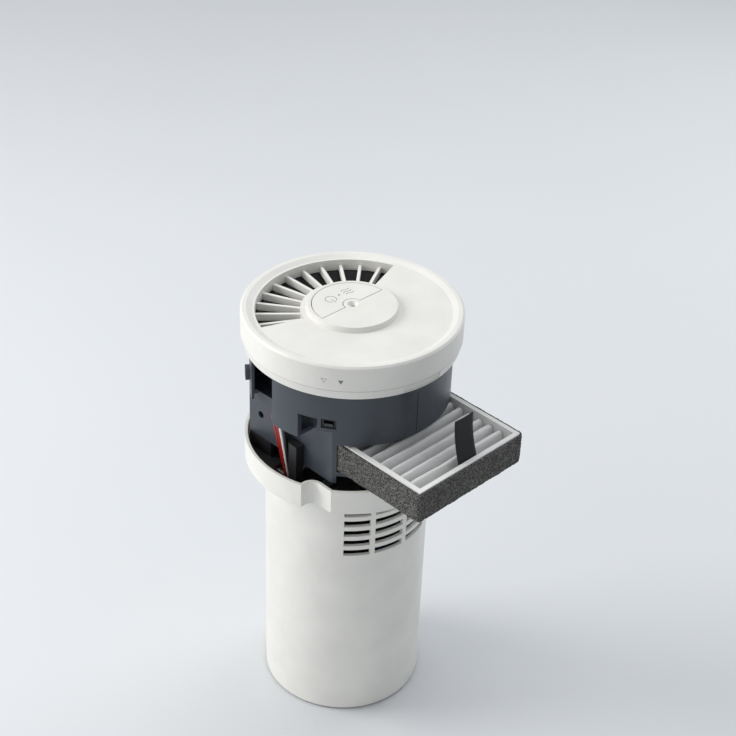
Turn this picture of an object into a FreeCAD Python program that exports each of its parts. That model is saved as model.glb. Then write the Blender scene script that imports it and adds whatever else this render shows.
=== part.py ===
import FreeCAD, Part
import math
import os
import re

# Portable air purifier. Z up, base underside at z = 0, body axis on Z.
# The filter cartridge slides out along -Y. All sizes in millimetres and degrees.
doc = FreeCAD.newDocument("air_purifier")
sheet = doc.addObject("Spreadsheet::Sheet", "Sizes")

VALUES = {
    # overall
    "total_height": 190, "head_radius": 45, "column_radius": 35, "column_wall": 1.6,
    "fit_gap": 0.3, "screw_radius": 1.2, "screw_head": 2.2, "screw_head_h": 1.3,
    # cap
    "skirt_drop": 15, "ring_height": 4, "ring_foot": 43.9, "skirt_wall": 2, "rim_rise": 1.1,
    "rim_inner": 42.6, "rim_foot": 40.2, "rim_chamfer": 0.8, "disc_thick": 2,
    "vent_inner": 21, "vent_outer": 39.2, "vent_start": 20, "vent_sweep": 140,
    "vent_wall": 1.4, "vent_wall_drop": 5.6, "duct_wall": 1.2, "duct_gap": 0.3,
    "vane_count": 11, "vane_pitch": 12.2, "vane_thick": 1.3, "vane_drop": 2.4,
    "vane_height": 3, "hub_top": 18.1, "hub_foot": 18.9, "hub_rise": 2.1, "hub_edge": 0.7,
    "key_radius": 16.4, "key_thick": 1.8, "key_post": 0.9, "key_off": 10.5,
    "dimple_tube": 3.8, "dimple_mouth": 2.2, "dimple_hole": 1.1, "dimple_depth": 1.5,
    "patch_start": -107, "patch_sweep": 23,
    # control board under the cap
    "board_drop": 9.3, "board_thick": 1.6, "board_radius": 18, "board_half": 24,
    "board_front": 28, "board_back": -9, "tact_side": 6, "tact_height": 4.8,
    # chassis band
    "band_radius": 41.5, "band_wall": 2, "band_drop": 39, "band_top_drop": 14,
    "shelf_thick": 2, "window_start": 151, "window_sweep": 26.5, "window_drop": 16,
    "window_lip": 1.1, "lip_sweep": 5.5,
    "pocket_near": 11.5, "pocket_far": 19.3, "pocket_drop": 27.7,
    "step_far": 24.4, "step_drop": 33,
    "switch_angle": -146, "switch_wide": 5.9, "switch_tall": 4.1, "switch_drop": 29.35,
    "plunger_tall": 1.1, "lug_angle": 143, "lug_wide": 4, "lug_tall": 5, "lug_drop": 32,
    "lug_out": 43.3,
    "seam_angle": -95, "mast_ring": 35.8, "mast_radius": 4, "mast_spread": 15,
    # filter bay
    "flat_half": 31.4, "bay_wall": 1.2, "bay_back": 29.4, "bay_drop": 60, "bay_front": 38.6,
    "floor_thick": 2, "roof_drop": 39.6, "roof_front": 30,
    "cheek_drop": 33, "cheek_front": 23.2, "leg_front": 14, "leg_back": 27, "leg_wall": 2.1,
    "air_half": 25, "air_deep": 22, "stop_near": 0.6, "stop_far": 6.2, "stop_out": 35.7,
    "stop_round": 1.7, "stop_drop": 49.6,
    # collar and shell
    "collar_radius": 43.7, "collar_wall": 1.3, "collar_top_drop": 60.5,
    "collar_low_drop": 71.4, "shoulder_thick": 2, "notch_x": 35, "notch_y": 15.2, "notch_round": 4,
    "tray_thick": 2, "tray_rim": 8.5, "tray_screw_in": 4.2,
    "slot_rows": 5, "slot_pitch": 5.1, "slot_height": 3, "slot_centre": -90.3,
    "slot_angle": 22.2, "slot_end": 18.3, "slot_rib": 3.5, "slot_drop": 78.6,
    # base
    "foot_thick": 1, "foot_recess": 0.4, "foot_inner": 20, "foot_outer": 26.5,
    "plate_thick": 3, "base_screw_in": 5, "base_boss": 3.6, "base_boss_h": 12,
    # power parts in the column
    "cell_radius": 9.2, "cell_length": 65.2, "cell_x": 9.6, "cell_y": -8, "cell_z": 10,
    "cradle_thick": 1.6, "cradle_half": 21, "cradle_front": 19, "cradle_wall": 2.2,
    "power_half": 14.1, "power_in": 11, "power_thick": 1.6, "power_top": 104,
    "usb_half": 2.9, "usb_round": 1.6, "usb_skin": 0.35, "usb_z": 12, "usb_in": 0.6,
    # fan
    "fan_radius": 29, "fan_wall": 1.4, "fan_height": 18, "fan_opening": 27,
    "motor_plate": 11, "motor_thick": 1.6, "ear_reach": 2.5, "ear_radius": 3, "ear_thick": 2.4,
    "cup_radius": 12.6, "cup_wall": 1.6, "cup_height": 12.8, "blade_gap": 0.6,
    "blade_thick": 1.1, "blade_angle": 52, "blade_count": 9,
    "stator_radius": 10, "bearing_radius": 3.1, "shaft_radius": 1,
    # filter cartridge
    "filter_half": 30, "filter_deep": 27, "filter_height": 14, "filter_top_drop": 40,
    "filter_out": 42.2, "foam_thick": 1.1, "foam_low": 0.7, "frame_wall": 2,
    "pleat_count": 8, "pleat_pitch": 5.4, "pleat_foot": 2.2, "pleat_crest": 0.5,
    "pleat_sink": 1.6, "pleat_floor": 3, "pleat_shift": 1.1,
    "tab_wide": 10.2, "tab_thick": 0.4, "tab_length": 20, "tab_lean": 10.5, "tab_x": 0.2,
    # leads between head and column
    "lead_radius": 0.85, "lead_pitch": 1.8, "lead_x": -35.6, "lead_top_y": 5, "lead_low_x": -31.2,
    "lead_low_y": 2.9, "lead_low_z": 118, "lead_bend": 3, "lead_run_z": 110, "lead_down_x": -9,
    "lead_tuck": 1.4, "lead_tuck_rise": 2.6,
}
for row, (alias, number) in enumerate(VALUES.items(), 1):
    sheet.set("A%d" % row, alias)
    sheet.set("B%d" % row, str(number))
    sheet.setAlias("B%d" % row, alias)
doc.recompute()

nodes = []


def size(alias):
    return float(sheet.get(alias))


def expr(text):
    return re.sub(r"[a-z][a-z_]*_[a-z_]+", lambda m: "Sizes." + m.group(0), str(text))


def bind(obj, prop, text):
    obj.setExpression(prop, expr(text))


def place(obj, x=0, y=0, z=0, turn=None):
    # puts obj at a point; with turn, the point and obj are swung about Z by that angle
    if turn is None:
        bind(obj, "Placement.Base.x", x)
        bind(obj, "Placement.Base.y", y)
    else:
        obj.Placement.Rotation = FreeCAD.Rotation(FreeCAD.Vector(0, 0, 1), 10)
        bind(obj, "Placement.Rotation.Angle", "(%s) * 1 deg" % turn)
        bind(obj, "Placement.Base.x", "(%s) * cos(%s) - (%s) * sin(%s)" % (x, turn, y, turn))
        bind(obj, "Placement.Base.y", "(%s) * sin(%s) + (%s) * cos(%s)" % (x, turn, y, turn))
    bind(obj, "Placement.Base.z", z)
    return obj


def cyl(radius, height, x=0, y=0, z=0, turn=None, sweep=None):
    obj = doc.addObject("Part::Cylinder", "cyl")
    bind(obj, "Radius", radius)
    bind(obj, "Height", height)
    if sweep is not None:
        bind(obj, "Angle", sweep)
    return place(obj, x, y, z, turn)


def cone(low, high, height, x=0, y=0, z=0, turn=None, sweep=None):
    obj = doc.addObject("Part::Cone", "cone")
    bind(obj, "Radius1", low)
    bind(obj, "Radius2", high)
    bind(obj, "Height", height)
    if sweep is not None:
        bind(obj, "Angle", sweep)
    return place(obj, x, y, z, turn)


def box(dx, dy, dz, x=0, y=0, z=0, turn=None):
    obj = doc.addObject("Part::Box", "box")
    bind(obj, "Length", dx)
    bind(obj, "Width", dy)
    bind(obj, "Height", dz)
    return place(obj, x, y, z, turn)


def centred(half_x, half_y, dz, x=0, y=0, z=0):
    return box("2 * (%s)" % half_x, "2 * (%s)" % half_y, dz,
               "(%s) - (%s)" % (x, half_x), "(%s) - (%s)" % (y, half_y), z)


def rod(radius, length, x, y, z, axis):
    # a cylinder lying along X or Y, starting at the point given
    obj = cyl(radius, length, x, y, z)
    turn = {"X": (FreeCAD.Vector(0, 1, 0), 90), "Y": (FreeCAD.Vector(1, 0, 0), -90)}[axis]
    obj.Placement.Rotation = FreeCAD.Rotation(*turn)
    return obj


def ridge(half_x, foot, crest, height, y, z):
    # a bar along X whose sides slope in from foot to crest, both half widths
    obj = doc.addObject("Part::Wedge", "ridge")
    obj.Placement.Rotation = FreeCAD.Rotation(FreeCAD.Vector(1, 0, 0), 90)
    for prop, text in (("Xmin", "-(%s)" % half_x), ("Xmax", half_x), ("X2min", "-(%s)" % half_x),
                       ("X2max", half_x), ("Ymin", "0"), ("Ymax", height),
                       ("Zmin", "-(%s)" % foot), ("Zmax", foot), ("Z2min", "-(%s)" % crest),
                       ("Z2max", crest)):
        bind(obj, prop, text)
    bind(obj, "Placement.Base.y", y)
    bind(obj, "Placement.Base.z", z)
    return obj


def fuse(*parts):
    if len(parts) == 1:
        return parts[0]
    obj = doc.addObject("Part::MultiFuse", "fuse")
    obj.Shapes = list(parts)
    return obj


def common(*parts):
    obj = doc.addObject("Part::MultiCommon", "common")
    obj.Shapes = list(parts)
    return obj


def cut(base, *tools):
    obj = doc.addObject("Part::Cut", "cut")
    obj.Base = base
    obj.Tool = fuse(*tools)
    return obj


def tube(outer, inner, height, x=0, y=0, z=0):
    return cut(cyl(outer, height, x, y, z),
               cyl(inner, "(%s) + 2" % height, x, y, "(%s) - 1" % z))


def sector(outer, inner, height, z, start, sweep):
    return cut(cyl(outer, height, 0, 0, z, turn=start, sweep=sweep),
               cyl(inner, "(%s) + 2" % height, 0, 0, "(%s) - 1" % z))


def node(name, obj, z=0, y=0, x=0, turn=None):
    obj.Label = name
    place(obj, x, y, z, turn)
    nodes.append((name, obj))
    return obj


def screw(ring, turn, z, length, head_up, y=0):
    # a cross-head screw; z is the face its head bears on
    sign = "" if head_up else "-"
    head_z = "%s" % z if head_up else "(%s) - screw_head_h" % z
    shank_z = "(%s) - (%s)" % (z, length) if head_up else "(%s) - 0.2" % z
    slot_z = "(%s) + screw_head_h - 0.5" % z if head_up else "(%s) - screw_head_h - 0.5" % z
    body = fuse(cyl("screw_head", "screw_head_h", ring, y, head_z, turn),
                cyl("screw_radius", "(%s) + 0.2" % length, ring, y, shank_z, turn))
    long_slot = box("1.4 * screw_head", 0.5, 1, "(%s) - 0.7 * screw_head" % ring,
                    "(%s) - 0.25" % y, slot_z, turn)
    cross_slot = box(0.5, "1.4 * screw_head", 1, "(%s) - 0.25" % ring,
                     "(%s) - 0.7 * screw_head" % y, slot_z, turn)
    return cut(body, long_slot, cross_slot)


TOP = "total_height"
DISC = "(total_height - rim_rise)"
DISC_LOW = "(total_height - rim_rise - disc_thick)"
SKIRT = "(total_height - skirt_drop)"
RING_TOP = "(total_height - skirt_drop + ring_height)"
BOARD = "(total_height - board_drop)"
BAND = "(total_height - band_drop)"
BAY = "(total_height - bay_drop)"
FLOOR_DROP = "(filter_top_drop + filter_height + fit_gap)"
FLOOR = "(total_height - %s)" % FLOOR_DROP
ROOF = "(total_height - roof_drop)"
DECK = "(total_height - roof_drop + floor_thick)"
COLLAR = "(total_height - collar_low_drop)"
COLLAR_TOP = "(total_height - collar_top_drop)"
TRAY = "(total_height - collar_low_drop + shoulder_thick)"
TRAY_TOP = "(total_height - collar_low_drop + shoulder_thick + tray_thick)"
FILTER = "(total_height - filter_top_drop - filter_height)"
PLATE_TOP = "(foot_thick + plate_thick)"
TRAY_OPENING = "(column_radius - tray_rim)"
TRAY_RING = "(column_radius - tray_screw_in)"
BASE_RING = "(column_radius - base_screw_in)"
POWER_Y = "(column_radius - power_in)"
USB_FRONT = "(column_radius - usb_in)"
EAR_RING = "(fan_radius + ear_reach)"
BLADE_TIP = "(fan_radius - fan_wall - blade_gap)"
MASTS = ["-90 - mast_spread", "-90 + mast_spread", "4"]
TRAY_TURNS = ["-30", "90", "-150"]
BASE_TURNS = ["30", "150", "-90"]


# ---- shell: column, shoulder and collar in one moulding ----
def notch(grow):
    # the step taken out of the collar; its one inner corner is rounded
    tall = "collar_low_drop - collar_top_drop + 4"
    round_ = "(notch_round + (%s))" % grow
    near_x = "-notch_x + (%s)" % grow
    near_y = "-notch_y + (%s)" % grow
    low = "(%s) - 2" % COLLAR
    return fuse(box(20, 40, tall, "%s - 20 - %s" % (near_x, round_), "%s - 40" % near_y, low),
                box(20, 40, tall, "%s - 20" % near_x, "%s - 40 - %s" % (near_y, round_), low),
                cyl(round_, tall, "%s - %s" % (near_x, round_), "%s - %s" % (near_y, round_), low))


def make_shell():
    collar = cut(cyl("collar_radius", "collar_low_drop - collar_top_drop", z=COLLAR), notch(0))
    outer = fuse(cyl("column_radius", "%s - foot_thick" % COLLAR_TOP, z="foot_thick"), collar)
    bore = cyl("column_radius - column_wall", TOP, z=0)
    plenum = cut(cyl("collar_radius - collar_wall", 30, z=TRAY), notch("collar_wall"))
    slots = []
    near = "slot_rib / 2 + slot_angle"
    columns = [("slot_centre - (%s) - slot_rib - slot_end" % near, "slot_end"),
               ("slot_centre - (%s)" % near, "slot_angle"),
               ("slot_centre + slot_rib / 2", "slot_angle"),
               ("slot_centre + %s + slot_rib" % near, "slot_end")]
    for row in range(int(size("slot_rows"))):
        level = "total_height - slot_drop - %d * slot_pitch - slot_height / 2" % row
        for start, sweep in columns:
            slots.append(cyl("column_radius + 2", "slot_height", 0, 0, level, start, sweep))
    port = fuse(centred("usb_half", 6, "2 * usb_round + 2 * fit_gap", 0, USB_FRONT,
                        "usb_z - usb_round - fit_gap"),
                rod("usb_round + fit_gap", 12, "usb_half", "%s - 6" % USB_FRONT, "usb_z", "Y"),
                rod("usb_round + fit_gap", 12, "-usb_half", "%s - 6" % USB_FRONT, "usb_z", "Y"))
    skin = cut(outer, bore, plenum, port, *slots)
    extras = []
    for turn in TRAY_TURNS:
        extras.append(cut(cyl(3, 12, TRAY_RING, 0, "%s - 12" % TRAY, turn),
                          cyl("screw_radius", 10, TRAY_RING, 0, "%s - 9" % TRAY, turn)))
    for turn in BASE_TURNS:
        extras.append(cut(cyl("base_boss", "base_boss_h", BASE_RING, 0, PLATE_TOP, turn),
                          cyl("screw_radius", "base_boss_h - 1", BASE_RING, 0,
                              "%s - 1" % PLATE_TOP, turn)))
    for side in ("power_half + 0.05", "-power_half - 2.05"):
        extras.append(box(2, 8.5, 96, side, "%s - 2" % POWER_Y, 5))
    return fuse(skin, *extras)


node("shell", make_shell())

# ---- base ----
plate = cut(cyl("column_radius - column_wall - 0.15", "plate_thick"),
            tube("foot_outer", "foot_inner", "foot_recess + 1", z=-1),
            *([cyl("screw_head + 0.2", "screw_head_h + 1.2", BASE_RING, 0, -1, t)
               for t in BASE_TURNS]
              + [cyl("screw_radius + 0.15", 9, BASE_RING, 0, -1, t) for t in BASE_TURNS]))
node("base_plate", plate, z="foot_thick")
node("foot_pad", tube("foot_outer - 0.1", "foot_inner + 0.1", "foot_thick + foot_recess"))
node("base_screws", fuse(*[screw(BASE_RING, t, "screw_head_h + 0.2", 11, False)
                           for t in BASE_TURNS]), z="foot_thick")

# ---- battery and its cradle ----
cells = []
for side in ("cell_x", "-cell_x"):
    cells.append(fuse(cyl("cell_radius", "cell_length", side, "cell_y"),
                      cyl(3, "cell_length + 0.8", side, "cell_y")))
node("battery_cells", fuse(*cells), z="cell_z")
cradle_parts = [box("2 * cradle_half", "cradle_front + 4", "cradle_thick",
                    "-cradle_half", "-cradle_front"),
                box("2 * cradle_half", "cradle_front + 4", "cradle_thick", "-cradle_half",
                    "-cradle_front", "cell_length + cradle_thick + 1.2"),
                box("2 * cradle_half", "cradle_wall", "cell_length + 2 * cradle_thick + 1.2",
                    "-cradle_half", "4 - cradle_wall")]
for px in (-17, 17):
    for py in (-14, 0):
        cradle_parts.append(cyl(2, "cell_z - cradle_thick - 0.2 - %s + 0.1" % PLATE_TOP, px, py,
                                "%s - cell_z + cradle_thick + 0.2" % PLATE_TOP))
node("battery_cradle", fuse(*cradle_parts), z="cell_z - cradle_thick - 0.2")

# ---- charging board with its header and socket ----
node("charge_board", box("2 * power_half", "power_thick", "power_top - 5"),
     x="-power_half", y=POWER_Y, z=5)
node("charge_header", box("4 * lead_pitch + 1", 5, 5), x="lead_down_x - 2 * lead_pitch - 0.5",
     y="%s - 5" % POWER_Y, z="power_top - 6.5")
socket_len = "%s - %s - power_thick" % (USB_FRONT, POWER_Y)
socket_y = "%s + power_thick" % POWER_Y


def stadium(shrink, length, start):
    return fuse(box("2 * usb_half", length, "2 * (usb_round - %s)" % shrink, "-usb_half", start,
                    "-usb_round + %s" % shrink),
                rod("usb_round - %s" % shrink, length, "usb_half", start, 0, "Y"),
                rod("usb_round - %s" % shrink, length, "-usb_half", start, 0, "Y"))


node("usb_socket", fuse(cut(stadium("0", socket_len, socket_y),
                            stadium("usb_skin", socket_len, "%s + 1" % socket_y)),
                        box(6, "%s - 1.5" % socket_len, 0.7, -3, "%s + 0.5" % socket_y, -0.35)),
     z="usb_z")

# ---- tray inside the collar ----
def make_tray():
    plate = cyl("collar_radius - collar_wall - fit_gap", "tray_thick", z=TRAY)
    lip = cut(tube("%s + 1.5" % TRAY_OPENING, TRAY_OPENING, 1.5, z=TRAY_TOP),
              *[cyl("screw_head + 0.6", 5, TRAY_RING, 0, TRAY_TOP, t) for t in TRAY_TURNS])
    leg = "%s - (%s)" % (BAY, TRAY_TOP)
    parts = [plate, lip]
    for side in ("-flat_half", "flat_half - leg_wall"):
        parts.append(box("leg_wall", "leg_back - leg_front", leg, side, "leg_front", TRAY_TOP))
    for side in ("-flat_half + leg_wall - 0.5", 8):
        parts.append(box("flat_half - leg_wall + 0.5 - 8", "leg_wall", leg, side,
                         "leg_back - leg_wall", TRAY_TOP))
    stop = "total_height - stop_drop - (%s)" % TRAY_TOP
    wall_x = "-flat_half - fit_gap"
    parts.append(box("stop_out - flat_half - fit_gap", "stop_far - stop_near - stop_round", stop,
                     "-stop_out", "-stop_far", TRAY_TOP))
    parts.append(box("stop_out - flat_half - fit_gap - stop_round", "stop_far - stop_near - 0.2",
                     stop, "%s - (stop_out - flat_half - fit_gap - stop_round)" % wall_x,
                     "-stop_far + 0.2", TRAY_TOP))
    parts.append(cyl("stop_round", stop, "-stop_out + stop_round", "-stop_near - stop_round",
                     TRAY_TOP))
    hole = box("8 - lead_x - 31", "4 * lead_pitch + 3", 9, "lead_x + 0.6",
               "lead_low_y - 2 * lead_pitch - 1.5", "%s - 3" % TRAY)
    return cut(fuse(*parts), notch("collar_wall + fit_gap"), hole,
               cyl(TRAY_OPENING, 20, z="%s - 15" % TRAY_TOP),
               *[cyl("screw_radius + 0.15", 20, TRAY_RING, 0, "%s - 5" % TRAY, t)
                 for t in TRAY_TURNS])


node("chassis_tray", make_tray())
node("tray_screws", fuse(*[screw(TRAY_RING, t, 0, "tray_thick + 8", True)
                           for t in TRAY_TURNS]), z=TRAY_TOP)


# ---- filter bay: the box the cartridge slides in ----
def make_bay():
    height = "bay_drop - roof_drop + floor_thick"
    back = common(box("2 * flat_half", "bay_back", height, "-flat_half", 0, BAY),
                  cyl("band_radius", height, z=BAY))
    front = common(box("2 * flat_half", "roof_front + 10", height, "-flat_half",
                       "-roof_front - 10", BAY), cyl("bay_front", height, z=BAY))
    inner = "flat_half - bay_wall"
    tunnel = centred(inner, 50, "%s - roof_drop" % FLOOR_DROP, 0, "bay_back - bay_wall - 50", FLOOR)
    under = centred(inner, 50, "bay_drop - %s - floor_thick + 1" % FLOOR_DROP, 0,
                    "bay_back - bay_wall - 50", "%s - 1" % BAY)
    opening = centred("air_half", "air_deep", 9, 0, 0, "%s - 4" % FLOOR)
    lip = box(80, 30, 20, -40, "-roof_front - 30", "%s - 1" % ROOF)
    blast = cyl("fan_opening", 20, z="%s - 2" % ROOF)
    dimple = rod(1.6, 2.2, "-flat_half - 1", 20, "%s + 11" % BAY, "X")
    core = cut(fuse(back, front), tunnel, under, opening, lip, blast, dimple)
    parts = [core]
    for side in ("-flat_half", inner):
        parts.append(box("bay_wall", "cheek_front - pocket_near + 1.2",
                         "%s - (%s) - cheek_drop" % (TOP, DECK), side, "-cheek_front", DECK))
    parts.append(box("bay_wall", "pocket_far - pocket_near + 1.2",
                     "%s - (%s) - pocket_drop + 1.2" % (TOP, DECK), "-flat_half",
                     "-pocket_far", DECK))
    tools = [tube(60, "band_radius - band_wall - 0.15", 30, z="%s - 0.15" % BAND)]
    tools += [cyl("screw_radius", 3, EAR_RING, 0, "%s - 1.7" % DECK, 45 + 90 * i)
              for i in range(4)]
    return cut(fuse(*parts), *tools)


node("filter_bay", make_bay())


# ---- chassis band under the cap ----
def make_band():
    height = "band_drop - band_top_drop"
    wall = tube("band_radius", "band_radius - band_wall", height, z=BAND)
    shelf = cut(cyl("band_radius - 0.5", "shelf_thick", z=BAND),
                box("2 * flat_half + 0.3", "roof_front + bay_back + 0.6", 10,
                    "-flat_half - 0.15", "-roof_front - 0.3", "%s - 3" % BAND))
    masts = [cyl("mast_radius", "band_drop - skirt_drop + 1.6", "mast_ring", 0,
                 BAND, t) for t in MASTS]
    lug = box("lug_out - band_radius + 1", "lug_wide", "lug_tall", "band_radius - 1",
              "-lug_wide / 2", "%s - lug_drop" % TOP, "lug_angle")
    tools = [cyl("screw_head + 0.4", 21, "mast_ring", 0, "%s - 1" % BAND, t) for t in MASTS]
    tools += [cyl("screw_radius + 0.15", 40, "mast_ring", 0, "%s - 1" % BAND, t) for t in MASTS]
    tools.append(box(20, "pocket_far - pocket_near", "band_drop - pocket_drop + 1",
                     "-flat_half - 20.1", "-pocket_far", "%s - 1" % BAND))
    tools.append(box(20, "step_far - pocket_far + 1", "band_drop - step_drop + 1",
                     "-flat_half - 20.1", "-step_far", "%s - 1" % BAND))
    tools.append(box(6, "switch_wide + 0.2", "switch_tall + 0.2", "band_radius - 4",
                     "-switch_wide / 2 - 0.1", "%s - switch_drop - switch_tall / 2 - 0.1" % TOP,
                     "switch_angle"))
    tools.append(sector("band_radius + 1", 30, "band_drop - window_drop + 1", "%s - 1" % BAND,
                        "window_start", "window_sweep"))
    # the wall is thinned behind the edge of the window
    tools.append(sector("band_radius - window_lip", 30, "band_drop - window_drop + 1",
                        "%s - 1" % BAND, "window_start - lip_sweep", "lip_sweep + 1"))
    tools.append(box(1, 0.35, "band_drop - skirt_drop - 4.6", "band_radius - 0.35", -0.17,
                     "%s + 0.6" % BAND, "seam_angle"))
    tools.append(box(4.8, "5.4 * lead_pitch", 6, "lead_x - 2.4",
                     "lead_top_y - 2.7 * lead_pitch", "%s - 2" % BAND))
    return cut(fuse(wall, shelf, lug, *masts), *tools)


node("chassis_band", make_band())
node("head_screws", fuse(*[screw("mast_ring", t, 0, 12, False) for t in MASTS]),
     z="%s + 20" % BAND)
inset = "%s - switch_drop - switch_tall / 2" % TOP
node("cover_switch", cut(box(3.3, "switch_wide", "switch_tall", "band_radius - 3.9",
                             "-switch_wide / 2", inset, "switch_angle"),
                         box(2, 4, 2.8, "band_radius - 1.9", -2,
                             "%s + switch_tall / 2 - 1.4" % inset, "switch_angle")))
node("switch_plunger", box(1.4, 3.4, "plunger_tall"), x="band_radius - 1.5", y=-1.7,
     z="%s + switch_tall / 2 - 1" % inset, turn="switch_angle")


# ---- cap ----
def make_cap():
    tall = "skirt_drop - ring_height"
    body = cut(cyl("head_radius", "%s - rim_chamfer" % tall, z=RING_TOP),
               cyl("head_radius - skirt_wall", "%s - rim_rise - disc_thick" % tall, z=RING_TOP))
    brim = cone("head_radius", "head_radius - rim_chamfer", "rim_chamfer",
                z="%s - rim_chamfer" % TOP)
    dish = cone("rim_foot", "rim_inner + 0.16", "rim_rise + 0.1", z=DISC)
    plate = cut(fuse(body, brim), dish)
    edge = "hub_edge"
    middle = "(hub_foot * 0.35 + hub_top * 0.65)"
    hub = fuse(cone("hub_foot", middle, "hub_rise - hub_edge", z=DISC),
               cone(middle, "hub_top", edge, z="%s + hub_rise - hub_edge" % DISC))
    wall = sector("vent_outer + vent_wall", "vent_outer", "vent_wall_drop - rim_rise",
                  "%s - vent_wall_drop - 0.5" % TOP, "vent_start - 1", "vent_sweep + 2")
    posts = [cyl(2.8, "skirt_drop - 1.6 - rim_rise - 0.5", "mast_ring", 0,
                 "%s - skirt_drop + 1.6" % TOP, t) for t in MASTS]
    for px in (-20, 20):
        for py in (-24, -8):
            posts.append(cyl(2, "board_drop - board_thick - rim_rise - 1", px, py,
                             "%s + board_thick" % BOARD))
    solid = fuse(plate, hub, wall, *posts)
    vent = sector("vent_outer", "vent_inner", 8, "%s - 7" % DISC, "vent_start", "vent_sweep")
    cavity = cyl("key_radius + fit_gap", "disc_thick + hub_rise - 2", z=DISC_LOW)
    half = common(cyl("key_radius + fit_gap", 10, z="%s - 1" % DISC),
                  box(60, 30, 20, -30, -0.15, "%s - 2" % DISC))
    tools = [vent, cut(fuse(cavity, half), cyl("dimple_tube", 20, z="%s - 5" % DISC))]
    tools += [cyl("screw_radius", 9, "mast_ring", 0, "%s - skirt_drop" % TOP, t) for t in MASTS]
    for px in (-20, 20):
        for py in (-24, -8):
            tools.append(cyl("screw_radius", 5.2, px, py, "%s - 0.5" % BOARD))
    tools.append(cyl("dimple_hole", 20, z="%s - 10" % DISC))
    tools.append(cone("dimple_hole", "dimple_mouth + 0.1", "dimple_depth + 0.1",
                      z="%s + hub_rise - dimple_depth" % DISC))
    tools.append(tube("head_radius + 1", "head_radius - 0.15", 0.15, z="%s - 0.02" % RING_TOP))
    return cut(solid, *tools)


node("top_cap", make_cap())
patch = cut(cyl("head_radius + 1", "ring_height - 0.9", 0, 0, 0.5, "patch_start", "patch_sweep"),
            cone("ring_foot - 0.4", "head_radius - 0.4", "ring_height"))
node("cap_ring", cut(cone("ring_foot", "head_radius", "ring_height"),
                     cone("ring_foot - skirt_wall", "head_radius - skirt_wall", "ring_height"),
                     patch), z=SKIRT)


def make_grille():
    start = "vent_start - 3"
    sweep = "vent_sweep + 6"
    sleeve = sector("vent_inner", "vent_inner - 1.6", "vane_height + 0.4", 0, start, sweep)
    vanes = []
    for i in range(int(size("vane_count"))):
        turn = "90 + (%d - (vane_count - 1) / 2) * vane_pitch" % i
        vanes.append(box("vent_outer - vent_inner + 0.4", "vane_thick", "vane_height",
                         "vent_inner - 0.5", "-vane_thick / 2", 0, turn))
    return fuse(sleeve, *vanes)


node("outlet_grille", make_grille(), z="%s - vane_drop - vane_height" % DISC)


def make_duct():
    # half funnel from the fan up to the vent, closed at its two ends
    tall = "(roof_drop - floor_thick - fan_height - vent_wall_drop - 0.5 - duct_gap)"
    start = "(vent_start - 2)"
    sweep = "(vent_sweep + 4)"
    high = "(vent_outer + vent_wall)"
    outer = cone("fan_radius", high, tall, turn=start, sweep=sweep)
    ends = [box("%s + 2 - fan_radius + 1.4" % high, "duct_wall", tall, "fan_radius - 1.4", 0, 0,
                start),
            box("%s + 2 - fan_radius + 1.4" % high, "duct_wall", tall, "fan_radius - 1.4",
                "-duct_wall", 0, "(%s + %s)" % (start, sweep))]
    skin = cut(outer, cone("fan_radius - duct_wall", "%s - duct_wall" % high, tall))
    inner = cone("fan_radius", high, tall)
    return fuse(skin, common(inner, ends[0]), common(cone("fan_radius", high, tall), ends[1]))


node("air_duct", make_duct(), z="%s + fan_height" % DECK)

key = cut(cyl("key_radius", "key_thick"),
          box(60, 30, 10, -30, -29.85, -2), cyl("dimple_tube + fit_gap", 10, z=-2))
node("power_key", fuse(key, cyl(2, "key_post + 0.2", 0, "key_off", "-key_post")),
     z="%s + hub_rise - key_thick" % DISC)

# ---- control board and what it carries ----
board = fuse(cyl("board_radius", "board_thick"),
             box("2 * board_half", "board_front - board_back", "board_thick",
                 "-board_half", "-board_front"))
hole_spots = [(px, py) for px in (-20, 20) for py in (-24, -8)]
node("control_board", cut(board, *[cyl("screw_radius + 0.1", 5, px, py, -1)
                                   for px, py in hole_spots]), z=BOARD)
node("board_screws", fuse(*[screw(px, None, 0, 4.2, False, py) for px, py in hole_spots]), z=BOARD)
node("board_header", box(6, "4 * lead_pitch + 0.6", 4.4), x="-board_half",
     y="lead_top_y - 2 * lead_pitch - 0.3", z="%s - 4.4" % BOARD)
node("tact_switch", box("tact_side", "tact_side", "tact_height"), x="-tact_side / 2",
     y="key_off - tact_side / 2", z="%s + board_thick" % BOARD)
node("tact_plunger", cyl(1.6, 0.6), y="key_off",
     z="%s + hub_rise - key_thick - key_post - 0.6" % DISC)
node("status_led", fuse(cyl(1.5, 2.2), cone(1.5, 0.8, 0.8, z=2.2)), z="%s + board_thick" % BOARD)


# ---- fan ----
def make_frame():
    parts = [tube("fan_radius", "fan_radius - fan_wall", "fan_height"),
             cyl("motor_plate", "motor_thick")]
    for i in range(3):
        parts.append(box("fan_radius - 0.7 - motor_plate + 1", 3, "motor_thick",
                         "motor_plate - 1", -1.5, 0, 90 + 120 * i))
    for i in range(4):
        ear = fuse(cyl("ear_radius", "ear_thick", EAR_RING, 0, 0, 45 + 90 * i),
                   box("ear_reach + 0.7", "2 * ear_radius", "ear_thick",
                       "fan_radius - 0.7", "-ear_radius", 0, 45 + 90 * i))
        parts.append(ear)
    holes = [cyl("screw_radius + 0.1", 9, EAR_RING, 0, -2, 45 + 90 * i) for i in range(4)]
    return cut(fuse(*parts), *holes)


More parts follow.
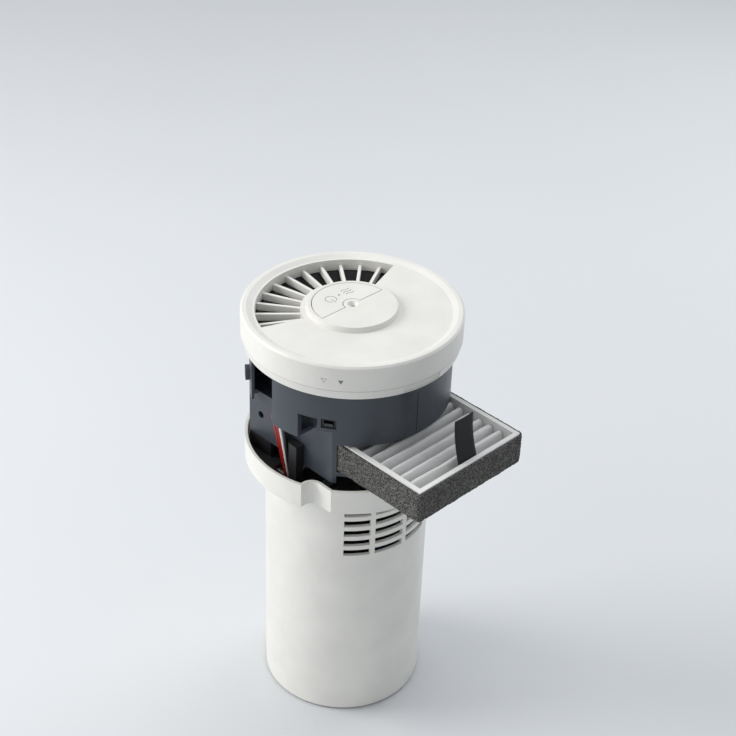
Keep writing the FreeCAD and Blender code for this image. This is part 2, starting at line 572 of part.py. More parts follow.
node("fan_frame", make_frame(), z=DECK)
node("fan_screws", fuse(*[screw(EAR_RING, 45 + 90 * i, 0, "ear_thick + floor_thick - 0.4", True)
                          for i in range(4)]), z="%s + ear_thick" % DECK)
node("motor_stator", tube("stator_radius", "bearing_radius", 8), z="%s + motor_thick" % DECK)
node("fan_bearing", tube("bearing_radius", "shaft_radius + 0.05", 9.5), z="%s + motor_thick" % DECK)


def make_rotor():
    cup = cut(cyl("cup_radius", "cup_height"),
              cyl("cup_radius - cup_wall", "cup_height", z="-cup_wall"))
    band = cut(cyl(BLADE_TIP, "cup_height - 0.4", z=0.2), cyl("cup_radius - 0.3", 30, z=-5))
    blades = []
    for i in range(int(size("blade_count"))):
        turn = 360.0 / size("blade_count") * i
        blade = box(BLADE_TIP, "blade_thick", 30, 0, 0, 0)
        spin = FreeCAD.Rotation(FreeCAD.Vector(0, 0, 1), turn)
        pitch = FreeCAD.Rotation(FreeCAD.Vector(1, 0, 0), size("blade_angle"))
        lean = pitch.multVec(FreeCAD.Vector(0, -size("blade_thick") / 2, -15))
        lean.z += size("cup_height") / 2
        base = spin.multVec(lean)
        for axis, value in zip("xyz", base):
            blade.setExpression("Placement.Base." + axis, None)
        blade.Placement = FreeCAD.Placement(base, spin.multiply(pitch))
        blades.append(blade)
    return fuse(cup, common(fuse(*blades), band))


ROTOR = "%s + motor_thick + 1" % DECK
node("fan_rotor", make_rotor(), z=ROTOR)
node("fan_shaft", cyl("shaft_radius", "cup_height - cup_wall - 0.1", z=0.1), z=ROTOR)

# ---- filter cartridge, shown drawn out ----
DRAWN = "-filter_out"


def rounded(half_x, half_y, corner, dz, z):
    parts = [centred(half_x, "%s - %s" % (half_y, corner), dz, 0, 0, z),
             centred("%s - %s" % (half_x, corner), half_y, dz, 0, 0, z)]
    for sx in ("", "-"):
        for sy in ("", "-"):
            parts.append(cyl(corner, dz, "%s(%s - %s)" % (sx, half_x, corner),
                             "%s(%s - %s)" % (sy, half_y, corner), z))
    return fuse(*parts)


rim_x = "filter_half - foam_thick"
rim_y = "filter_deep - foam_thick"
node("foam_skirt", cut(rounded("filter_half", "filter_deep", "foam_thick",
                               "filter_height - foam_low - 0.2", 0.2),
                       centred(rim_x, rim_y, 40, 0, 0, -5)), z=FILTER, y=DRAWN)
node("filter_frame", cut(centred(rim_x, rim_y, "filter_height"),
                         centred("%s - frame_wall" % rim_x, "%s - frame_wall" % rim_y, 40, 0, 0,
                                 -5)), z=FILTER, y=DRAWN)
pleat_x = "%s - frame_wall - 0.05" % rim_x
pleats = [centred(pleat_x, "%s - frame_wall - 0.05" % rim_y, 2, 0, 0, "pleat_floor - 1.5")]
for i in range(int(size("pleat_count"))):
    mid = "(%d - (pleat_count - 1) / 2) * pleat_pitch + pleat_shift" % i
    pleats.append(ridge(pleat_x, "pleat_foot", "pleat_crest",
                        "filter_height - pleat_sink - pleat_floor", mid, "pleat_floor"))
node("pleated_media", fuse(*pleats), z=FILTER, y=DRAWN)
tab = box("tab_wide", "tab_thick", "tab_length", "tab_x - tab_wide / 2",
          "-(%s - frame_wall) + 0.1" % rim_y, "filter_height - 1")
tab.Placement.Rotation = FreeCAD.Rotation(FreeCAD.Vector(-1, 0, 0), 10)
bind(tab, "Placement.Rotation.Angle", "tab_lean * 1 deg")
node("pull_tab", fuse(tab, box("tab_wide", "tab_thick", 4, "tab_x - tab_wide / 2",
                               "-(%s - frame_wall) + 0.1" % rim_y, "filter_height - 4.9")),
     z=FILTER, y=DRAWN)


# ---- leads from the control board down to the charging board ----
def lead_shape(points, bend, radius):
    # straight runs joined by tangent arcs, swept with a round section
    pts = [FreeCAD.Vector(*p) for p in points]
    edges = []
    start = pts[0]
    for i in range(1, len(pts) - 1):
        into = (pts[i] - pts[i - 1]).normalize()
        out = (pts[i + 1] - pts[i]).normalize()
        turn = into.getAngle(out)
        reach = bend * math.tan(turn / 2)
        a = pts[i] - into * reach
        b = pts[i] + out * reach
        middle = (out - into).normalize()
        mid = pts[i] + middle * (bend / math.cos(turn / 2) - bend)
        edges.append(Part.LineSegment(start, a).toShape())
        edges.append(Part.Arc(a, mid, b).toShape())
        start = b
    edges.append(Part.LineSegment(start, pts[-1]).toShape())
    spine = Part.Wire(edges)
    first = (pts[1] - pts[0]).normalize()
    ring = Part.Wire([Part.Circle(pts[0], first, radius).toShape()])
    return spine.makePipeShell([ring], True, True), spine.Length


LEAD_LENGTHS = {}


def lead(name, places):
    top = size("total_height")
    z_top = top - size("board_drop") - 2.2
    z_band = top - size("band_drop") - 2
    shapes = []
    for i in places:
        shift = (1.5 - i) * size("lead_pitch")
        y_top = size("lead_top_y") + shift
        # the four close up into a slanting row on their way down
        x_low = size("lead_low_x") + 0.3 * shift
        y_low = size("lead_low_y") + 0.95 * shift
        x_down = size("lead_down_x") + shift
        # behind the band the leads sit a little further in, clear of its window
        x_in = size("lead_x") + size("lead_tuck")
        points = [(-size("board_half"), y_top, z_top), (x_in, y_top, z_top),
                  (x_in, y_top, z_band + size("lead_tuck_rise")), (size("lead_x"), y_top, z_band),
                  (x_low, y_low, size("lead_low_z")),
                  (x_low, y_low, size("lead_run_z")),
                  (x_down, y_low, size("lead_run_z")), (x_down, y_low, size("power_top") - 4),
                  (x_down, size("column_radius") - size("power_in") - 5, size("power_top") - 4)]
        shape, length = lead_shape(points, size("lead_bend"), size("lead_radius"))
        LEAD_LENGTHS[(name, i)] = (length, shape.Volume)
        shapes.append(shape)
    obj = doc.addObject("Part::Feature", name)
    obj.Label = name
    obj.Shape = shapes[0] if len(shapes) == 1 else Part.makeCompound(shapes)
    nodes.append((name, obj))


lead("red_leads", (0, 1))
lead("white_lead", (2,))
lead("black_lead", (3,))

doc.recompute()
for obj in doc.Objects:
    if "Invalid" in obj.State or "Error" in obj.State:
        raise RuntimeError("bad object %s %s %s" % (obj.Name, obj.Label, obj.State))
for name, obj in nodes:
    if obj.Shape.isNull() or not obj.Shape.isValid() or not obj.Shape.Solids:
        raise RuntimeError("bad shape " + name)
for key_, (length, volume) in LEAD_LENGTHS.items():
    ideal = math.pi * size("lead_radius") ** 2 * length
    if abs(volume - ideal) > 0.01 * ideal:
        raise RuntimeError("lead volume off")
    print("lead", key_, round(length, 1))
os.makedirs("parts", exist_ok=True)
for name, obj in nodes:
    obj.Shape.exportStep("parts/%s.step" % name)
    bb = obj.Shape.BoundBox
    print("%-16s solids %d vol %.1f  x %.1f..%.1f y %.1f..%.1f z %.1f..%.1f" % (
        name, len(obj.Shape.Solids), obj.Shape.Volume, bb.XMin, bb.XMax, bb.YMin, bb.YMax,
        bb.ZMin, bb.ZMax))
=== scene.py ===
import math
import bpy
from mathutils import Matrix, Vector, noise


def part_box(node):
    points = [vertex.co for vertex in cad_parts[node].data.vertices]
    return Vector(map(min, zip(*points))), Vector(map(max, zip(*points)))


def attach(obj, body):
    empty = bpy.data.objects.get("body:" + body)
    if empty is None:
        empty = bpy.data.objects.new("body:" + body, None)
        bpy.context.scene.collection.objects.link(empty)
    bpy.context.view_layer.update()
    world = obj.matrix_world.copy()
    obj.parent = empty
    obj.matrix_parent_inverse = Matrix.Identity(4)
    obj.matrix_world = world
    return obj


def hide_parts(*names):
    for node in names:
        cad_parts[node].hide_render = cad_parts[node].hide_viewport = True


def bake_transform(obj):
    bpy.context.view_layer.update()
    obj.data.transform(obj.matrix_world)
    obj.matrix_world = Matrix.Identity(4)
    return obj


MM = 0.001
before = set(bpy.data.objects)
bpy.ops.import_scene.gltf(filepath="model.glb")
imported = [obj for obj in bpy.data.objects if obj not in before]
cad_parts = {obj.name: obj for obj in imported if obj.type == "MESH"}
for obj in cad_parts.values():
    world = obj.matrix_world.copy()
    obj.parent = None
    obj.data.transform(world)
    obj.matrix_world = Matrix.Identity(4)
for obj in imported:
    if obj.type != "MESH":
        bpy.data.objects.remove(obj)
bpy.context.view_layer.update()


# ---------- materials ----------
def new_material(name, colour, rough, metallic=0.0):
    mat = bpy.data.materials.new(name)
    mat.use_nodes = True
    shader = mat.node_tree.nodes["Principled BSDF"]
    shader.inputs["Base Color"].default_value = (*colour, 1)
    shader.inputs["Roughness"].default_value = rough
    shader.inputs["Metallic"].default_value = metallic
    return mat, mat.node_tree, shader


def add(tree, kind, **values):
    node = tree.nodes.new(kind)
    for key, value in values.items():
        if key in node.inputs:
            node.inputs[key].default_value = value
        else:
            setattr(node, key, value)
    return node


def object_coords(tree, scale=(1, 1, 1)):
    coords = add(tree, "ShaderNodeTexCoord")
    mapping = add(tree, "ShaderNodeMapping")
    mapping.inputs["Scale"].default_value = scale
    tree.links.new(coords.outputs["Object"], mapping.inputs["Vector"])
    return mapping.outputs["Vector"]


def noise_tex(tree, scale, detail=4.0, rough=0.55, stretch=(1, 1, 1)):
    tex = add(tree, "ShaderNodeTexNoise", Scale=scale, Detail=detail, Roughness=rough)
    tree.links.new(object_coords(tree, stretch), tex.inputs["Vector"])
    return tex.outputs["Fac"]


def remap(tree, source, low, high, from_low=0.3, from_high=0.7):
    ramp = add(tree, "ShaderNodeMapRange")
    ramp.inputs["From Min"].default_value = from_low
    ramp.inputs["From Max"].default_value = from_high
    ramp.inputs["To Min"].default_value = low
    ramp.inputs["To Max"].default_value = high
    tree.links.new(source, ramp.inputs["Value"])
    return ramp.outputs["Result"]


def tint(tree, shader, source, dark, light):
    mix = add(tree, "ShaderNodeMix", data_type="RGBA")
    mix.inputs["A"].default_value = (*dark, 1)
    mix.inputs["B"].default_value = (*light, 1)
    tree.links.new(source, mix.inputs["Factor"])
    tree.links.new(mix.outputs["Result"], shader.inputs["Base Color"])


def bump(tree, shader, source, strength, distance, radius=0.0, below=None):
    node = add(tree, "ShaderNodeBump")
    node.inputs["Strength"].default_value = strength
    node.inputs["Distance"].default_value = distance
    tree.links.new(source, node.inputs["Height"])
    if below is not None:
        tree.links.new(below, node.inputs["Normal"])
    elif radius:
        bevel = add(tree, "ShaderNodeBevel", samples=6)
        bevel.inputs["Radius"].default_value = radius
        tree.links.new(bevel.outputs["Normal"], node.inputs["Normal"])
    tree.links.new(node.outputs["Normal"], shader.inputs["Normal"])
    return node.outputs["Normal"]


def shade(colour, factor):
    return tuple(min(1, c * factor) for c in colour)


def plastic(name, colour, rough, grain=2600, grain_height=0.5, radius=0.35, wear=0.06,
            subsurface=0.0, coat=0.0):
    # moulded plastic: fine spark grain, cloudy roughness, faint handling marks
    mat, tree, shader = new_material(name, colour, rough)
    cloud = noise_tex(tree, 55, 3)
    tint(tree, shader, remap(tree, cloud, 0, 1), shade(colour, 1 - wear),
         shade(colour, 1 + wear / 3))
    smear = noise_tex(tree, 140, 6, 0.7, (1, 1, 0.25))
    tree.links.new(remap(tree, smear, rough - 0.07, rough + 0.08), shader.inputs["Roughness"])
    under = bump(tree, shader, noise_tex(tree, 90, 2), 0.06, 0.0006, radius * MM)
    bump(tree, shader, noise_tex(tree, grain, 2), grain_height, 0.00003, below=under)
    shader.inputs["Subsurface Weight"].default_value = subsurface
    shader.inputs["Subsurface Radius"].default_value = (0.0012, 0.001, 0.0008)
    shader.inputs["Coat Weight"].default_value = coat
    shader.inputs["Coat Roughness"].default_value = 0.25
    return mat


def metal(name, colour, rough, scale=900):
    mat, tree, shader = new_material(name, colour, rough, 1.0)
    streak = noise_tex(tree, scale, 3, 0.6, (1, 1, 0.1))
    tint(tree, shader, remap(tree, streak, 0, 1), shade(colour, 0.75), colour)
    tree.links.new(remap(tree, streak, rough - 0.08, rough + 0.12), shader.inputs["Roughness"])
    bump(tree, shader, streak, 0.2, 0.00002, 0.00008)
    return mat


def foam_material(name, dark, light):
    # open-cell foam: lighter struts between the cells; the cell hollows are darkened as painted
    # shade
    mat, tree, shader = new_material(name, dark, 0.95)
    cells = add(tree, "ShaderNodeTexVoronoi", Scale=1000.0, feature="DISTANCE_TO_EDGE")
    tree.links.new(object_coords(tree), cells.inputs["Vector"])
    strut = remap(tree, cells.outputs["Distance"], 1, 0, 0.02, 0.3)
    speck = noise_tex(tree, 1300, 3, 0.8)
    both = add(tree, "ShaderNodeMath", operation="MULTIPLY")
    tree.links.new(strut, both.inputs[0])
    tree.links.new(remap(tree, speck, 0.25, 1.25, 0.35, 0.65), both.inputs[1])
    tint(tree, shader, both.outputs[0], dark, light)
    bump(tree, shader, strut, 1.0, 0.0005)
    return mat


def fleece(name, colour):
    # non-woven filter fleece: fine fibres with soft clouding
    mat, tree, shader = new_material(name, colour, 0.9)
    fibre = noise_tex(tree, 1500, 6, 0.75, (0.4, 1, 1))
    cloud = noise_tex(tree, 130, 3)
    both = add(tree, "ShaderNodeMath", operation="MULTIPLY")
    tree.links.new(remap(tree, fibre, 0.5, 1), both.inputs[0])
    tree.links.new(remap(tree, cloud, 0.6, 1), both.inputs[1])
    tint(tree, shader, both.outputs[0], shade(colour, 0.78), colour)
    bump(tree, shader, fibre, 0.5, 0.00012)
    shader.inputs["Subsurface Weight"].default_value = 0.15
    shader.inputs["Subsurface Radius"].default_value = (0.0008, 0.0008, 0.0008)
    return mat


def ribbon_material(name, colour):
    mat, tree, shader = new_material(name, colour, 0.75)
    weave = add(tree, "ShaderNodeTexWave", Scale=900.0, bands_direction="Z")
    tree.links.new(object_coords(tree), weave.inputs["Vector"])
    # painted shade in the weave's troughs and painted sheen on its ribs
    tint(tree, shader, weave.outputs["Fac"], shade(colour, 0.7), shade(colour, 1.5))
    bump(tree, shader, weave.outputs["Fac"], 0.4, 0.00008)
    return mat


def board_material(name, colour):
    mat, tree, shader = new_material(name, colour, 0.35)
    tracks = add(tree, "ShaderNodeTexVoronoi", Scale=260.0, feature="DISTANCE_TO_EDGE")
    tracks.distance = "MANHATTAN"
    tree.links.new(object_coords(tree), tracks.inputs["Vector"])
    tint(tree, shader, remap(tree, tracks.outputs["Distance"], 1, 0, 0.02, 0.05),
         colour, shade(colour, 1.8))
    return mat


def coil_material(name, colour):
    mat, tree, shader = new_material(name, colour, 0.35, 0.9)
    wave = add(tree, "ShaderNodeTexWave", Scale=1100.0, bands_direction="Z", Distortion=0.6)
    tree.links.new(object_coords(tree), wave.inputs["Vector"])
    # painted shade: the grooves between the wire turns are darkened to half
    tint(tree, shader, wave.outputs["Fac"], shade(colour, 0.5), colour)
    bump(tree, shader, wave.outputs["Fac"], 0.6, 0.0001)
    return mat


WHITE = (0.80, 0.79, 0.745)
SLATE = (0.048, 0.058, 0.072)
white = plastic("white_plastic", WHITE, 0.42, subsurface=0.08, coat=0.15, radius=0.3)
vane_white = plastic("vane_plastic", (0.82, 0.81, 0.77), 0.45, radius=0.3)
slate = plastic("slate_plastic", SLATE, 0.38, grain=2200, radius=0.2, wear=0.12)
black = plastic("black_plastic", (0.012, 0.012, 0.014), 0.5, radius=0.15, wear=0.2)
charcoal = plastic("fan_plastic", (0.030, 0.034, 0.041), 0.5, radius=0.15, wear=0.2)
base_white = plastic("base_plastic", (0.62, 0.62, 0.60), 0.5, grain_height=0.8, radius=0.3)
header_mat = plastic("header_nylon", (0.70, 0.67, 0.58), 0.5, radius=0.1)
rubber = plastic("foot_rubber", (0.02, 0.02, 0.02), 0.85, grain=1500, grain_height=1.0, wear=0.3)
sleeve = plastic("cell_sleeve", (0.03, 0.14, 0.30), 0.3, radius=0.4)
steel = metal("zinc_steel", (0.50, 0.50, 0.50), 0.35)
bright = metal("bright_contact", (0.62, 0.61, 0.58), 0.28)
contact = metal("spring_contact", (0.10, 0.105, 0.11), 0.4)
brass = metal("bearing_brass", (0.60, 0.45, 0.22), 0.35)
board = board_material("board_green", (0.015, 0.09, 0.04))
coil = coil_material("stator_copper", (0.62, 0.28, 0.12))
# first colour: painted shade in the cell hollows; second colour: the foam's grey struts
foam = foam_material("foam_grey", (0.028, 0.028, 0.026), (0.22, 0.216, 0.20))
paper = fleece("pleat_fleece", (0.80, 0.80, 0.79))
card = fleece("rim_card", (0.84, 0.84, 0.82))
ribbon = ribbon_material("ribbon_black", (0.009, 0.009, 0.010))
red = plastic("red_insulation", (0.37, 0.016, 0.012), 0.32, grain=1200, radius=0.0)
wire_white = plastic("white_insulation", (0.74, 0.74, 0.72), 0.32, grain=1200, radius=0.0)
wire_black = plastic("black_insulation", (0.014, 0.02, 0.02), 0.32, grain=1200, radius=0.0)
ink = plastic("grey_ink", (0.20, 0.205, 0.20), 0.6, radius=0.0)
lens = plastic("led_lens", (0.10, 0.11, 0.12), 0.15, radius=0.0)

MATERIALS = {
    white: ["shell", "top_cap", "cap_ring", "power_key"],
    vane_white: ["outlet_grille"],
    slate: ["chassis_band", "filter_bay"],
    charcoal: ["fan_frame"],
    # chassis_tray is black plastic; its posts under the filter bay are black as painted shade,
    # standing in for the shade low inside the collar
    black: ["cover_switch", "fan_rotor", "battery_cradle", "tact_switch",
            "tact_plunger", "chassis_tray", "air_duct"],
    base_white: ["base_plate"],
    header_mat: ["charge_header", "board_header"],
    rubber: ["foot_pad"],
    sleeve: ["battery_cells"],
    steel: ["base_screws", "tray_screws", "head_screws", "board_screws", "fan_screws",
            "fan_shaft"],
    bright: ["usb_socket"],
    contact: ["switch_plunger"],
    brass: ["fan_bearing"],
    board: ["control_board", "charge_board"],
    coil: ["motor_stator"],
    foam: ["foam_skirt"],
    paper: ["pleated_media"],
    card: ["filter_frame"],
    ribbon: ["pull_tab"],
    red: ["red_leads"],
    wire_white: ["white_lead"],
    wire_black: ["black_lead"],
    lens: ["status_led"],
}
for mat, names in MATERIALS.items():
    for name in names:
        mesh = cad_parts[name].data
        mesh.materials.clear()
        mesh.materials.append(mat)
        mesh.polygons.foreach_set("material_index", [0] * len(mesh.polygons))


# ---------- mesh helpers ----------
def mesh_object(name, verts, faces, mat, smooth=True):
    mesh = bpy.data.meshes.new(name)
    mesh.from_pydata([tuple(v) for v in verts], [], faces)
    mesh.update()
    mesh.polygons.foreach_set("use_smooth", [smooth] * len(mesh.polygons))
    obj = bpy.data.objects.new(name, mesh)
    bpy.context.scene.collection.objects.link(obj)
    mesh.materials.append(mat)
    return obj


def ring_faces(rings, points):
    # quads over a closed row of closed rings
    faces = []
    for i in range(rings):
        here, ahead = i * points, (i + 1) % rings * points
        for j in range(points):
            k = (j + 1) % points
            faces.append((here + j, here + k, ahead + k, ahead + j))
    return faces


def slab_faces(rows, cols):
    # closes a front and a back grid of (rows + 1) x (cols + 1) points into one skin
    row, count = cols + 1, (rows + 1) * (cols + 1)
    faces = []
    for r in range(rows):
        for c in range(cols):
            a = r * row + c
            faces.append((a, a + 1, a + row + 1, a + row))
            faces.append((count + a + row, count + a + row + 1, count + a + 1, count + a))
    for r in range(rows):
        for c, flip in ((0, False), (cols, True)):
            a = r * row + c
            quad = (a, a + row, count + a + row, count + a)
            faces.append(tuple(reversed(quad)) if flip else quad)
    for c in range(cols):
        for r, flip in ((0, True), (rows, False)):
            a = r * row + c
            quad = (a, a + 1, count + a + 1, count + a)
            faces.append(quad if flip else tuple(reversed(quad)))
    return faces


# ---------- foam skirt round the cartridge ----------
FOAM_THICK = 1.1 * MM
FOAM_STEP, FOAM_CORNER = 0.42 * MM, 1.9 * MM
foam_low, foam_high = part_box("foam_skirt")
FAR_RISE = 0.7 * MM          # the foam on the +X side stands a little proud


def foam_ring():
    step, corner = FOAM_STEP, FOAM_CORNER
    size_x, size_y = foam_high.x - foam_low.x, foam_high.y - foam_low.y
    path = []          # point on the outer outline and its outward normal
    for cx, cy, start in ((foam_high.x - corner, foam_low.y + corner, -90),
                          (foam_high.x - corner, foam_high.y - corner, 0),
                          (foam_low.x + corner, foam_high.y - corner, 90),
                          (foam_low.x + corner, foam_low.y + corner, 180)):
        for k in range(9):
            angle = math.radians(start + 90 * k / 8)
            normal = Vector((math.cos(angle), math.sin(angle), 0))
            path.append((Vector((cx, cy, 0)) + corner * normal, normal))
        run = (size_y if start in (-90, 90) else size_x) - 2 * corner
        count = int(run / step)
        end, normal = path[-1]
        along = Vector((-normal.y, normal.x, 0))
        for k in range(1, count):
            path.append((end + along * run * k / count, normal))
    height = foam_high.z - foam_low.z
    rows = int(height / step)
    inset = FOAM_THICK * 0.9
    section = [(0.0, k / rows) for k in range(rows + 1)]
    section += [(-inset * k / 3, 1.0) for k in range(1, 4)]
    section += [(-inset, 0.5)]
    section += [(-inset * k / 3, 0.0) for k in (3, 2, 1)]
    verts = []
    for point, normal in path:
        for out, up in section:
            v = point + normal * out
            v.z = foam_low.z + height * up
            rough = noise.noise(v * 1400) + 0.6 * noise.noise(v * 3300 + Vector((7, 3, 1)))
            lump = 0.25 * noise.noise(v * 160)
            if out > -inset * 0.99:
                edge = 1 - max(0, abs(up - 0.5) * 2 - 0.93) / 0.07
                v -= normal * MM * (0.22 + 0.2 * (1 - edge))
                v += normal * MM * (0.24 * rough + lump)
                v.z += MM * 0.12 * noise.noise(v * 1700 + Vector((0, 9, 0)))
                if normal.x > 0.5:
                    v.z += up * FAR_RISE
            verts.append(v)
    return mesh_object("foam_skirt_soft", verts, ring_faces(len(path), len(section)), foam)


soft_foam = foam_ring()
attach(soft_foam, "filter")
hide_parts("foam_skirt")

# ---------- pleated media ----------
pleat_low, pleat_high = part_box("pleated_media")
PLEATS, PITCH, SHIFT = 8, 5.4 * MM, 1.1 * MM
VALLEY = 1.2 * MM            # height of the valleys over the underside


def pleat_mesh():
    across, steps = 90, 12
    width = pleat_high.x - pleat_low.x
    floor = pleat_low.z + VALLEY
    crest = pleat_high.z
    middle = (pleat_low.y + pleat_high.y) / 2 + SHIFT
    first = middle - PLEATS / 2 * PITCH
    lines = [pleat_low.y, (pleat_low.y + first) / 2]
    lines += [first + PITCH * k / steps for k in range(PLEATS * steps + 1)]
    lines += [(lines[-1] + pleat_high.y) / 2, pleat_high.y]
    along = len(lines) - 1
    verts = []
    for level in lines:
        t = (level - first) / PITCH
        inside = 0 <= t <= PLEATS
        near = abs((t % 1.0) - 0.5) * 2 if inside else 1.0     # 0 on a crest, 1 in a valley
        for i in range(across + 1):
            s = i / across
            x = pleat_low.x + width * s
            wob = noise.noise(Vector((x * 70, t * 1.7, 3.0)))
            side = min(s, 1 - s) * width / MM
            droop = max(0.0, 1 - side / 1.3) ** 2 * 2.6 * MM
            rise = 1 - max(0.0, near - 0.12) / 0.88
            rise = 0.5 - 0.5 * math.cos(math.pi * min(1.0, rise * 1.12) ** 0.9)
            pinch = 0.35 * MM * noise.noise(Vector((x * 210, t * 2.3, 8.0)))
            y = level + (0.45 * MM * wob + pinch * 0.5) * (1 - near)
            z = floor + (crest - floor) * rise + (0.16 * MM * wob + 0.1 * pinch) * (1 - near)
            z -= droop * (1 - near)
            if not inside:
                z = floor + 0.8 * MM
            verts.append(Vector((x, min(max(y, pleat_low.y), pleat_high.y), min(z, crest))))
    verts += [Vector((v.x, v.y, pleat_low.z)) for v in verts]
    return mesh_object("pleated_media_soft", verts, slab_faces(along, across), paper)


pleats = pleat_mesh()
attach(pleats, "filter")
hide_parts("pleated_media")

# ---------- ribbon pull tab ----------
tab_low, tab_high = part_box("pull_tab")
TAB_WIDE = tab_high.x - tab_low.x


def ribbon_mesh():
    foot = Vector(((tab_low.x + tab_high.x) / 2, tab_low.y + 0.2 * MM, tab_low.z))
    bend = Vector((foot.x, foot.y, foot.z + 4 * MM))
    top = Vector((foot.x, tab_high.y - 0.2 * MM, tab_high.z))
    rows, cols, thick = 48, 8, 0.42 * MM
    front, back = [], []
    for r in range(rows + 1):
        t = r / rows
        if t < 0.16:
            spot = foot.lerp(bend, t / 0.16)
        else:
            u = (t - 0.16) / 0.84
            spot = bend.lerp(top, u)
            spot.y += 0.9 * MM * math.sin(u * math.pi) - 0.5 * MM * u * u
        for c in range(cols + 1):
            s = c / cols - 0.5
            sway = 0.35 * MM * t * math.sin(3 * t + 1)
            x = spot.x + s * TAB_WIDE * (1 - 0.03 * t) + sway
            y = spot.y + 0.25 * MM * (2 * s) ** 2 * t
            front.append(Vector((x, y - thick / 2, spot.z)))
            back.append(Vector((x, y + thick / 2, spot.z)))
    return mesh_object("pull_tab_soft", front + back, slab_faces(rows, cols), ribbon), bend


tab, bend_point = ribbon_mesh()
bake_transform(tab)
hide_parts("pull_tab")

# ---------- marks: icons on the key, arrows on the skirt ----------
_, key_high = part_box("power_key")
_, cap_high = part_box("top_cap")
LIFT = 0.02 * MM
STROKE = 0.26 * MM
RIM_TOP = cap_high.z - 1.0 * MM          # the hub stands this much over the rim
ARROW_DROP = 6.8 * MM


def stroke(points, width, closed=False):
    # a flat line of even width through plan points: returns its verts and faces
    verts, faces = [], []
    total = len(points)
    for i, p in enumerate(points):
        a = points[(i - 1) % total] if closed or i else p
        b = points[(i + 1) % total] if closed or i < total - 1 else p
        d = (Vector(b) - Vector(a)).normalized()
        n = Vector((-d.y, d.x)) * width / 2
        verts += [Vector(p) + n, Vector(p) - n]
    for i in range(total if closed else total - 1):
        j = (i + 1) % total
        faces.append((2 * i, 2 * i + 1, 2 * j + 1, 2 * j))
    return verts, faces


def arc(cx, cy, radius, start, end, count=24):
    return [(cx + radius * math.cos(math.radians(start + (end - start) * k / count)),
             cy + radius * math.sin(math.radians(start + (end - start) * k / count)))
            for k in range(count + 1)]


def disc(cx, cy, radius, count=16):
    pts = [Vector(p) for p in arc(cx, cy, radius, 0, 360, count)[:-1]]
    return pts, [tuple(range(count))]


def gather(shapes):
    verts, faces = [], []
    for v, f in shapes:
        faces += [tuple(i + len(verts) for i in face) for face in f]
        verts += v
    return verts, faces


POWER_X, POWER_Y, POWER_R = -4.2 * MM, 8.3 * MM, 2.3 * MM
WAVE_X, WAVE_Y, WAVE_LONG, WAVE_GAP, WAVE_HIGH = (5.1 * MM, 8.5 * MM, 4.3 * MM, 1.5 * MM,
                                                  0.34 * MM)


def key_icons():
    # power sign, dot and air sign, laid out along the seam side of the key
    shapes = [stroke(arc(POWER_X, POWER_Y, POWER_R, -62, 242), STROKE),
              stroke([(POWER_X, POWER_Y - 0.3 * MM), (POWER_X, POWER_Y - 3 * MM)], STROKE),
              disc(0.5 * MM, 8.6 * MM, 0.45 * MM)]
    for k in (-1, 0, 1):
        wave = [(WAVE_X + WAVE_LONG * (t / 20 - 0.5),
                 WAVE_Y + k * WAVE_GAP + WAVE_HIGH * math.sin(t / 20 * 2 * math.pi))
                for t in range(21)]
        shapes.append(stroke(wave, STROKE))
    verts, faces = gather(shapes)
    return mesh_object("key_icons", [Vector((v.x, v.y, key_high.z + LIFT)) for v in verts],
                       faces, ink, smooth=False)


icons = key_icons()
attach(icons, "key")


def skirt_arrows():
    radius = cap_high.x + LIFT
    level = RIM_TOP - ARROW_DROP
    half, tall = 1.1 * MM, 1.75 * MM
    shapes = []
    outline = [(-half, tall / 2), (half, tall / 2), (0, -tall / 2)]
    for centre, filled in ((-148.0, False), (-139.6, True)):
        if filled:
            v, f = [Vector(p) for p in outline], [(0, 1, 2)]
        else:
            v, f = stroke(outline, STROKE, closed=True)
        place = []
        for p in v:
            angle = math.radians(centre) + p.x / radius
            place.append(Vector((radius * math.cos(angle), radius * math.sin(angle),
                                 level + p.y)))
        shapes.append((place, f))
    verts, faces = gather(shapes)
    return mesh_object("skirt_arrows", verts, faces, ink, smooth=False)


arrows = skirt_arrows()
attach(arrows, "housing")

# ---------- floor, lights, camera ----------
stage_mat, stage_tree, stage_shader = new_material("table_top", (0.685, 0.705, 0.72), 0.6)
tint(stage_tree, stage_shader, remap(stage_tree, noise_tex(stage_tree, 3, 2), 0, 1),
     (0.675, 0.695, 0.71), (0.695, 0.715, 0.73))
bpy.ops.mesh.primitive_plane_add(size=6, location=(0, 0, 0))
floor = bpy.context.object
floor.name = "floor"
floor.data.materials.append(stage_mat)

# the camera looks down at the rim of the cap from the front left
RIM = Vector((0, 0, RIM_TOP))
TURN = math.radians(-45.0)
DISTANCE, RISE = 0.6312, math.radians(31.36)
YAW, DIP, ROLL = 0.0131, 0.5863, 0.0392


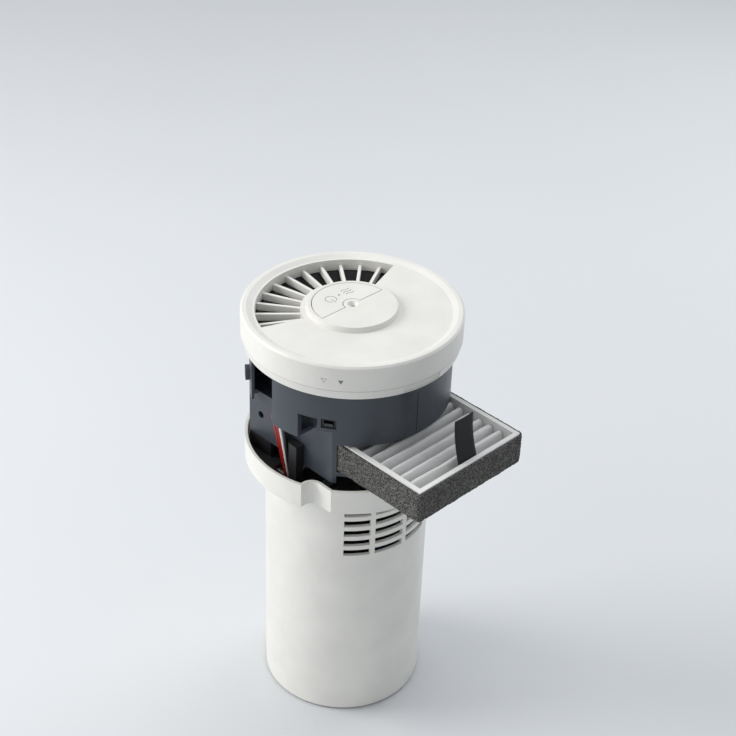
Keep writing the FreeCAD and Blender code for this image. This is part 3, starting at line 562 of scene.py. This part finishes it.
def view_axes():
    ahead = Vector((math.sin(YAW) * math.cos(DIP), math.cos(YAW) * math.cos(DIP),
                    -math.sin(DIP)))
    right = ahead.cross(Vector((0, 0, 1))).normalized()
    up = right.cross(ahead)
    rolled_right = right * math.cos(ROLL) + up * math.sin(ROLL)
    rolled_up = up * math.cos(ROLL) - right * math.sin(ROLL)
    return rolled_right, rolled_up, ahead


spin = Matrix.Rotation(TURN, 3, "Z")
right, up, ahead = [spin @ v for v in view_axes()]
camera_data = bpy.data.cameras.new("camera")
camera_data.lens, camera_data.sensor_width = 77.2, 36
camera = bpy.data.objects.new("camera", camera_data)
bpy.context.scene.collection.objects.link(camera)
spot = RIM + spin @ Vector((0, -DISTANCE * math.cos(RISE), DISTANCE * math.sin(RISE)))
camera.matrix_world = Matrix(((right.x, up.x, -ahead.x, spot.x), (right.y, up.y, -ahead.y, spot.y),
                              (right.z, up.z, -ahead.z, spot.z), (0, 0, 0, 1)))
bpy.context.scene.camera = camera


def area_light(name, offset, size, power, colour=(1, 1, 1), target=(0, 0, 0.12)):
    # offset is (right, away, up) as seen from the camera, in metres
    data = bpy.data.lights.new(name, "AREA")
    data.shape, data.size, data.energy, data.color = "DISK", size, power, colour
    obj = bpy.data.objects.new(name, data)
    bpy.context.scene.collection.objects.link(obj)
    flat_right = Vector((right.x, right.y, 0)).normalized()
    flat_away = Vector((-flat_right.y, flat_right.x, 0))
    obj.location = flat_right * offset[0] + flat_away * offset[1] + Vector((0, 0, offset[2]))
    aim = Vector(target) - obj.location
    obj.rotation_euler = aim.to_track_quat("-Z", "Y").to_euler()
    return obj


area_light("window_left", (-0.95, 0.10, 0.70), 0.6, 7.3, (1.0, 0.99, 0.97))
area_light("top_soft", (-0.1, 0.25, 1.3), 0.9, 4.0, (0.97, 0.98, 1.0))
area_light("front_fill", (-0.95, -0.50, 0.35), 0.8, 2.4, (1.0, 0.99, 0.97))
area_light("rear_glow", (0.60, 0.60, 0.60), 0.7, 2.4, (0.96, 0.98, 1.0))

world = bpy.data.worlds.new("studio")
world.use_nodes = True
world.node_tree.nodes["Background"].inputs["Color"].default_value = (0.93, 0.955, 1.0, 1)
world.node_tree.nodes["Background"].inputs["Strength"].default_value = 0.475
bpy.context.scene.world = world
bpy.context.scene.view_settings.view_transform = "Standard"
